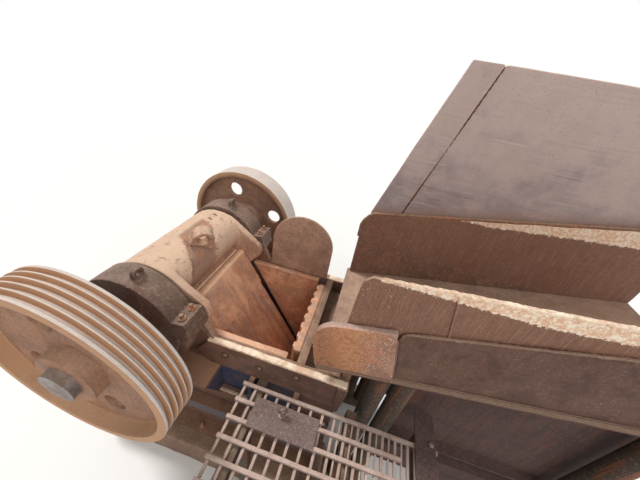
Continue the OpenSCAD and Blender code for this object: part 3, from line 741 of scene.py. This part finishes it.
cheekSkin = (0.008, ((0.2, 0.006), (0.04, 0.002)), 3)  # the same on both sides
capSkin = (0.0055, ((0.12, 0.004), (0.025, 0.0016)), 4)
housingSkin = (0.007, ((0.12, 0.003), (0.025, 0.0016)), 3)
plinthSkin = (0.022, ((0.3, 0.012), (0.05, 0.006)), 1)
castings = {  # node: voxel, lumps as (size, height), rounds of smoothing
    'moving_jaw_plate': (0.006, ((0.22, 0.008), (0.03, 0.003)), 6),
    'jaw_clamp_bar': (0.0045, ((0.05, 0.004),), 3),
    'fixed_jaw_plate': (0.0065, ((0.15, 0.005), (0.03, 0.002)), 3),
    'cheek_plate_near': cheekSkin,
    'cheek_plate_far': cheekSkin,
    'bearing_cap_near': capSkin,
    'bearing_cap_far': capSkin,
    'bearing_housing_near': housingSkin,
    'bearing_housing_far': housingSkin,
    'flywheel': (0.0065, ((0.1, 0.002), (0.02, 0.0008)), 3),
    'guard_plate': (0.006, ((0.25, 0.008), (0.04, 0.0012)), 2),
    'chute_wall_near_front': (0.006, ((0.2, 0.009), (0.03, 0.0015)), 3),
    'chute_wall_near_rear': (0.007, ((0.25, 0.009), (0.03, 0.0015)), 3),
    'chute_top_near_front': (0.006, ((0.2, 0.008), (0.03, 0.0015)), 3),
    'chute_top_near_rear': (0.007, ((0.25, 0.009), (0.03, 0.0015)), 3),
    'chute_wall_far': (0.008, ((0.3, 0.009), (0.04, 0.0015)), 3),
    'chute_apron_front': (0.007, ((0.4, 0.010), (0.05, 0.001)), 2),
    'chute_apron_rear': (0.009, ((0.4, 0.012), (0.05, 0.001)), 2),
    'walkway_plate': (0.0034, ((0.1, 0.005), (0.02, 0.001)), 1),
    'walkway_strap': (0.004, ((0.15, 0.005), (0.02, 0.001)), 1),
    'plinth_near': plinthSkin,
    'plinth_far': plinthSkin,
    'plinth_rear': plinthSkin,
}
for name, (voxel, lumps, softness) in castings.items():
    stands(keptInside(cast(name, voxel, lumps, softness), name), name, 40)
print('castings and dented plates made')


def bevelled(name, width):  # edges of a fabricated piece, knocked round
    piece = nodeCopy(name)
    bpy.ops.object.mode_set(mode='EDIT')
    bpy.ops.mesh.select_all(action='SELECT')
    bpy.ops.mesh.dissolve_limited(angle_limit=radians(1))
    bpy.ops.object.mode_set(mode='OBJECT')
    chamfered(piece, width, 40)
    return keptInside(piece, name)


roundedEdges = {'chute_skirt_near': 0.002, 'chute_skirt_far': 0.002, 'side_frame_near': 0.004,
                'side_frame_far': 0.004, 'front_frame': 0.004, 'rear_frame': 0.004, 'toggle_block': 0.004,
                'toggle_plate': 0.005, 'drive_wheel': 0.0025, 'chute_bearer': 0.003, 'chute_floor': 0.003,
                'walkway_bearers': 0.005, 'walkway_posts': 0.005}
for name, width in roundedEdges.items():
    stands(bevelled(name, width), name, 30)
print('edges rounded')


boltParts = {  # corners, share of the bolt's radius, rounding
    'head': (6, 1.0, 0.14),
    'washer': (28, 1.5, 0.3),
    'thread': (20, 0.5, 0.08),
}


def hexBolt(radius, tall, washer, thread=0.0):  # stands on the ground, head up
    depths = {'head': (tall, washer + tall / 2, radius), 'washer': (washer, washer / 2, washer)}
    if thread:
        depths['thread'] = (thread, washer + tall + thread / 2, radius)
    parts = []
    for name, (depth, middle, thick) in depths.items():
        corners, width, edge = boltParts[name]
        bpy.ops.object.select_all(action='DESELECT')
        bpy.ops.mesh.primitive_cylinder_add(vertices=corners, radius=radius * width, depth=depth,
                                            location=(0, 0, middle))
        parts.append(bpy.context.object)
        chamfered(parts[-1], thick * edge)
    return joined(parts)


def placed(model, spots):  # a copy of the model at each place, turned to its direction
    pieces = []
    for number, (place, towards) in enumerate(spots):
        twin = copied(model)
        turn = Vector(towards).to_track_quat('Z', 'Y').to_matrix().to_4x4()
        twin.matrix_world = Matrix.Translation(place) @ turn @ Matrix.Rotation(number * 1.9, 4, 'Z')
        pieces.append(twin)
    bpy.data.objects.remove(model)
    return joined(pieces)


sides = (-1, 1)  # near and far
tilt = radians(12)  # slope of the bearing's split
capNut = {'out': 0.333, 'up': 0.059, 'aside': (0.416, 0.492)}  # out along the split, up square to it
coverCircle, coverStart = 0.127, 0.3


def capSpot(end, across):
    return spot(end * capNut['out'] * cos(tilt) - capNut['up'] * sin(tilt), across,
                end * capNut['out'] * sin(tilt) + capNut['up'] * cos(tilt))


def coverSpot(number, side):
    turn = number * pi / 3 + coverStart
    return spot(coverCircle * cos(turn), side * 0.5555, coverCircle * sin(turn))


fasteners = {  # size: radius, height, washer, thread
    'railBolts': {'size': (0.013, 0.010, 0.003), 'slot': 'rusty_steel', 'spots': [
        (spot(x, side * 0.434, z), (0, side, 0)) for x, z in railBolts for side in sides]},
    'capNuts': {'size': (0.023, 0.022, 0.005, 0.022), 'slot': 'rusty_steel', 'spots': [
        (capSpot(end, side * y), (-sin(tilt), 0, cos(tilt)))
        for end in sides for side in sides for y in capNut['aside']]},
    'coverBolts': {'size': (0.009, 0.007, 0.002), 'slot': 'rusty_steel', 'spots': [
        (coverSpot(number, side), (0, side, 0)) for number in range(6) for side in sides]},
    'footNuts': {'size': (0.022, 0.020, 0.005, 0.03), 'slot': 'rusty_steel', 'spots': [
        (spot(x * 0.3 - 0.3, side * 0.495, -1.1405), (0, 0, 1)) for x in range(5) for side in sides]},
    'postNuts': {'size': (0.015, 0.013, 0.003, 0.02), 'slot': 'rusty_steel', 'spots': [
        (spot(x, side * 0.34 + shift, -1.4845), (0, 0, 1))
        for x in (1.305, 1.601, 2.515, 2.685) for side in sides for shift in (-0.085, 0.085)]},
    'strapBolt': {'size': (0.016, 0.012, 0.003), 'slot': 'bare_steel', 'spots': [
        (spot(1.734, -0.466, -0.2625), (0.1, 0, 1))]},
}
for name, make in fasteners.items():
    finished(placed(hexBolt(*make['size']), make['spots']), name, make['slot'], 'frame')
print('bolts and nuts placed')

eyeBolt = {
    'place': (0.932, -0.585, -0.264),
    'ring': 0.019,
    'wire': 0.0065,
    'nut': (0.014, 0.010, 0.003, 0.012),
    'foot': 0.026,  # the ring stands so high
    'turn': 0.5,
}


def makeEyeBolt():
    nut = hexBolt(*eyeBolt['nut'])
    bpy.ops.object.select_all(action='DESELECT')
    bpy.ops.mesh.primitive_torus_add(major_radius=eyeBolt['ring'], minor_radius=eyeBolt['wire'],
                                     major_segments=36, minor_segments=14,
                                     location=(0, 0, eyeBolt['foot'] + eyeBolt['ring']),
                                     rotation=(pi / 2, 0, eyeBolt['turn']))
    piece = joined([nut, bpy.context.object])
    piece.matrix_world = Matrix.Translation(spot(*eyeBolt['place'])) @ piece.matrix_world
    finished(piece, 'eyeBolt', 'bare_steel', 'frame')


makeEyeBolt()
print('eye bolt made')


weldDrop = {'segments': 8, 'rings': 6, 'short': 0.8, 'step': 0.75}


def bead(start, end, size):  # overlapping drops of weld along a line
    run = end - start
    bpy.ops.object.select_all(action='DESELECT')
    bpy.ops.mesh.primitive_uv_sphere_add(segments=weldDrop['segments'], ring_count=weldDrop['rings'],
                                         radius=size)
    drop = bpy.context.object
    bpy.ops.object.mode_set(mode='EDIT')
    bpy.ops.transform.resize(value=(weldDrop['short'], 1.0, 1.0))
    bpy.ops.object.mode_set(mode='OBJECT')
    step = size * weldDrop['step']
    modified(drop, 'ARRAY', count=max(2, int(run.length / step)), use_relative_offset=False,
             use_constant_offset=True, constant_offset_displace=(step, 0, 0))
    drop.matrix_world = Matrix.Translation(start) @ run.to_track_quat('X', 'Z').to_matrix().to_4x4()
    return drop


chuteFloor = {'start': 1.0503, 'level': 0.032, 'rise': 0.218, 'lean': 0.213, 'up': 0.977}


def offFloor(x, y, high):  # so high above the chute's floor, square to it
    level = chuteFloor['level'] + (x - chuteFloor['start']) * chuteFloor['rise']
    return (x - chuteFloor['lean'] * high, y, level + chuteFloor['up'] * high)


seams = {  # size of the drops, and the lines from end to end
    'chuteWelds': {'slot': 'dusty_plate', 'size': 0.005, 'lines': [
        (offFloor(1.4123, -0.4135, 0.01), offFloor(1.4123, -0.4135, 0.27)),
        (offFloor(1.6053, -0.3925, 0.32), offFloor(1.6053, -0.3925, 0.55)),
        (offFloor(1.03, -0.4265, 0), offFloor(1.405, -0.4265, 0)),
        (offFloor(1.42, -0.4125, 0), offFloor(2.745, -0.4125, 0)),
        (offFloor(1.07, 0.4125, 0), offFloor(2.745, 0.4125, 0)),
        ((0.46, 0.3915, -0.0895), (0.90, 0.3915, -0.0895))]},
    'frameWelds': {'slot': 'frame_paint', 'size': 0.006, 'lines': [
        ((-0.46, side * 0.416, -0.329), (0.46, side * 0.416, -0.329)) for side in sides] + [
        ((x, side * 0.417, -0.552), (x, side * 0.417, -0.295)) for x in (0.702, 0.982) for side in sides]},
}
for name, make in seams.items():
    beads = [bead(spot(*start), spot(*end), make['size']) for start, end in make['lines']]
    finished(joined(beads), name, make['slot'], 'frame')
print('welds laid')

springCoil = {'start': -0.67, 'length': 0.16, 'height': -1.09465, 'turns': 8, 'radius': 0.038,
              'wire': 0.0085, 'steps': 32}  # steps in a turn


def makeSpring():  # a ring of wire swept round and along the rod
    bpy.ops.object.select_all(action='DESELECT')
    bpy.ops.mesh.primitive_circle_add(vertices=14, radius=springCoil['wire'], rotation=(pi / 2, 0, 0))
    coil = bpy.context.object
    bpy.ops.object.mode_set(mode='EDIT')
    bpy.ops.transform.translate(value=(0, 0, springCoil['radius']))
    bpy.ops.object.mode_set(mode='OBJECT')
    bpy.ops.object.transform_apply(location=False, rotation=True, scale=False)
    steps = springCoil['steps'] * springCoil['turns']
    modified(coil, 'SCREW', axis='X', angle=2 * pi * springCoil['turns'], steps=steps, render_steps=steps,
             screw_offset=springCoil['length'] - 2 * springCoil['wire'])
    bpy.ops.object.mode_set(mode='EDIT')
    bpy.ops.mesh.select_all(action='DESELECT')
    bpy.ops.mesh.select_non_manifold()
    bpy.ops.mesh.edge_face_add()
    bpy.ops.mesh.select_all(action='SELECT')
    bpy.ops.mesh.normals_make_consistent(inside=False)
    bpy.ops.object.mode_set(mode='OBJECT')
    coil.location = spot(springCoil['start'] + springCoil['wire'], 0, springCoil['height'])
    stands(coil, 'tension_spring', 60)


makeSpring()
print('spring wound')

grating = {
    'start': 0.6523, 'length': 1.12, 'side': -0.489, 'top': -0.274,
    'pitch': 0.091, 'long': 11, 'bar': (0.020, 0.020, 70),  # width, height and cuts
    'short': 1,  # the long bar that is cut off before the strap
    'shortEnd': 1.58,
    'crossPitch': 0.068, 'cross': 17, 'crossBar': (0.015, 0.015, 24), 'crossShift': 0.0155,
    'fineFrom': 8, 'fineBar': (0.009, 0.011, 24), 'fineShift': 0.0499,
    'low': 0.019,  # the bars across lie so far below the long ones' top
    'turn': 0.012,  # none of them lies quite square
    'sag': 0.006,
    'lumps': ((0.03, 0.0012),),
}


def flatBar(length, width, tall, cuts):  # along X, its top at the ground
    bpy.ops.object.select_all(action='DESELECT')
    bpy.ops.mesh.primitive_grid_add(x_subdivisions=cuts, y_subdivisions=1, size=1)
    bar = bpy.context.object
    bpy.ops.object.mode_set(mode='EDIT')
    bpy.ops.mesh.select_all(action='SELECT')
    bpy.ops.transform.resize(value=(length, width, 1))
    bpy.ops.transform.translate(value=(length / 2, 0, 0))
    bpy.ops.object.mode_set(mode='OBJECT')
    modified(bar, 'SOLIDIFY', thickness=tall, offset=-1)
    chamfered(bar, min(width, tall) * 0.16)
    return bar


def makeGrating():
    wide = grating['bar'][0]
    across = grating['pitch'] * (grating['long'] - 1) + wide
    bars = []
    for number in range(grating['long']):
        long = grating['shortEnd'] - grating['start'] if number == grating['short'] else grating['length']
        bar = flatBar(long, *grating['bar'])
        bar.location = spot(grating['start'], grating['side'] - number * grating['pitch'], grating['top'])
        bars.append(bar)
    cross = flatBar(across, *grating['crossBar'])
    fine = flatBar(across, *grating['fineBar'])
    rows = ((cross, 0, grating['crossShift']), (fine, grating['fineFrom'], grating['fineShift']))
    for model, first, shift in rows:
        for number in range(first, grating['cross'] - (model is fine)):
            bar = copied(model)
            askew = noise.noise(Vector((number * 3.7, first, 0))) * grating['turn']
            bar.rotation_euler = (0, 0, -pi / 2 + askew)
            bar.location = spot(grating['start'] + shift + number * grating['crossPitch'],
                                grating['side'] + wide / 2, grating['top'] - grating['low'])
            bars.append(bar)
        bpy.data.objects.remove(model)
    whole = joined(bars)
    only(whole)
    bpy.ops.object.transform_apply(location=True, rotation=True, scale=True)
    lumpy(whole, 0.35, grating['sag'], direction='Z')
    lumpy(whole, 0.3, grating['sag'], direction='Y')
    weathered(whole, grating['lumps'])
    stands(keptInside(whole, 'walkway_grating'), 'walkway_grating', 50)


makeGrating()
print('grating laid')

seamStrip = {'start': (1.2923, 0.427, 0.575), 'end': (1.5118, 0.427, 1.44),
             'bar': (0.045, 0.009, 60), 'lumps': ((0.2, 0.002),)}


def makeStrip():  # backs the apron's seam, welded on outside
    run = Vector(seamStrip['end']) - Vector(seamStrip['start'])
    strip = flatBar(run.length, *seamStrip['bar'])
    along, inward = run.normalized(), Vector((0, -1, 0))
    strip.matrix_world = (Matrix.Translation(spot(*seamStrip['start']))
                          @ Matrix((along, inward.cross(along), inward)).transposed().to_4x4())
    weathered(strip, seamStrip['lumps'])
    finished(strip, 'seamStrip', 'rusty_steel', 'frame')


makeStrip()
print('seam backed')

ridges = {  # dust lying along the top edges: start, end, width, height
    'dustNear': ((0.395, -0.414, -0.0895), (1.225, -0.414, -0.0895), 0.036, 0.024),
    'dustPlates': ((1.2, -0.3825, 0.657), (2.74, -0.3825, 0.842), 0.022, 0.010),
    'dustFar': ((0.93, 0.404, -0.0895), (1.225, 0.404, -0.0895), 0.05, 0.012),
    'dustLedge': ((-0.45, -0.47, -0.5495), (1.18, -0.43, -0.5495), 0.02, 0.006),
}
ridgeSkin = {'voxel': 0.0035, 'softness': 4, 'lumps': ((0.09, 0.010), (0.014, 0.0028))}


def makeDust(name, start, end, width, tall):
    run = spot(*end) - spot(*start)
    bpy.ops.object.select_all(action='DESELECT')
    bpy.ops.mesh.primitive_cube_add(size=1, location=(spot(*start) + spot(*end)) / 2,
                                    rotation=run.to_track_quat('X', 'Z').to_euler(),
                                    scale=(run.length, width, tall))
    piece = bpy.context.object
    bpy.ops.object.transform_apply(location=True, rotation=True, scale=True)
    recast(piece, ridgeSkin['voxel'], ridgeSkin['softness'])
    weathered(piece, ridgeSkin['lumps'])
    finished(piece, name, 'concrete', 'frame', 60)
    piece.data.materials[0] = finishes['stone_dust']


for name, (start, end, width, tall) in ridges.items():
    makeDust(name, start, end, width, tall)
print('dust lies on the walls')

farHem = {
    'radius': 0.013,
    'aside': 0.402,
    'points': ((1.0653, 0.36), (1.0653, 0.455), (1.078, 0.495), (1.105, 0.533), (1.135, 0.5555),
               (2.742, 0.905)),
    'voxel': 0.005,
    'softness': 3,
    'lumps': ((0.08, 0.005),),
}


def makeHem():  # the far wall's front and top edges are rolled round a bar
    data = bpy.data.curves.new('farHem', 'CURVE')
    data.dimensions = '3D'
    data.bevel_depth = farHem['radius']
    data.bevel_resolution = 4
    data.use_fill_caps = True
    line = data.splines.new('POLY')
    line.points.add(len(farHem['points']) - 1)
    for point, (x, z) in zip(line.points, farHem['points']):
        point.co = (*spot(x, farHem['aside'], z), 1)
    only(linked('farHem', data))
    bpy.ops.object.convert(target='MESH')
    piece = bpy.context.object
    recast(piece, farHem['voxel'], farHem['softness'])
    weathered(piece, farHem['lumps'])
    markBends(piece)
    finished(piece, 'farHem', 'rusty_steel', 'frame', 60)


makeHem()
print('far wall hemmed')


studio = {
    'floor': 80,
    'floorTone': tone(240, 238, 234),
    'sky': 0.38,  # strength of its light on the object
    'whiteFor': ('Is Camera Ray', 'Is Glossy Ray', 'Is Transmission Ray'),
    'suns': (  # where the light comes from, strength, softness in degrees
        ((-0.8, 0.35, 1.25), 2.25, 14),
        ((0.9, -1.0, 1.0), 1.3, 60),
    ),
}


def makeStudio():
    bpy.ops.object.select_all(action='DESELECT')
    bpy.ops.mesh.primitive_plane_add(size=studio['floor'], location=(0, 0, 0))
    floor = bpy.context.object
    floor.name = 'floor'
    material, here, place, facing = startMaterial('floor')
    shade = here.node('BsdfDiffuse', None, {'Color': studio['floorTone']})
    end = here.tree.nodes.new('ShaderNodeOutputMaterial')
    here.tree.links.new(shade.plug, end.inputs['Surface'])
    floor.data.materials.append(material)
    for number, (side, strength, softness) in enumerate(studio['suns']):
        data = bpy.data.lights.new(f'sun{number}', 'SUN')
        data.energy = strength
        data.angle = radians(softness)
        linked(f'sun{number}', data).rotation_euler = Vector(side).to_track_quat('Z', 'Y').to_euler()
    world = bpy.data.worlds.new('sky')
    world.use_nodes = True
    world.node_tree.nodes.clear()
    sky = Wire(world.node_tree, None)
    camera, mirror, glass = (sky.node('LightPath', out=ray) for ray in studio['whiteFor'])
    seen = camera.larger(mirror).larger(glass)
    strength = seen * (1 - studio['sky']) + studio['sky']
    light = sky.node('Background', None, {'Color': (1, 1, 1), 'Strength': strength})
    end = world.node_tree.nodes.new('ShaderNodeOutputWorld')
    world.node_tree.links.new(light.plug, end.inputs['Surface'])
    bpy.context.scene.world = world
    bpy.context.scene.view_settings.view_transform = 'Standard'


makeStudio()
print('studio ready')
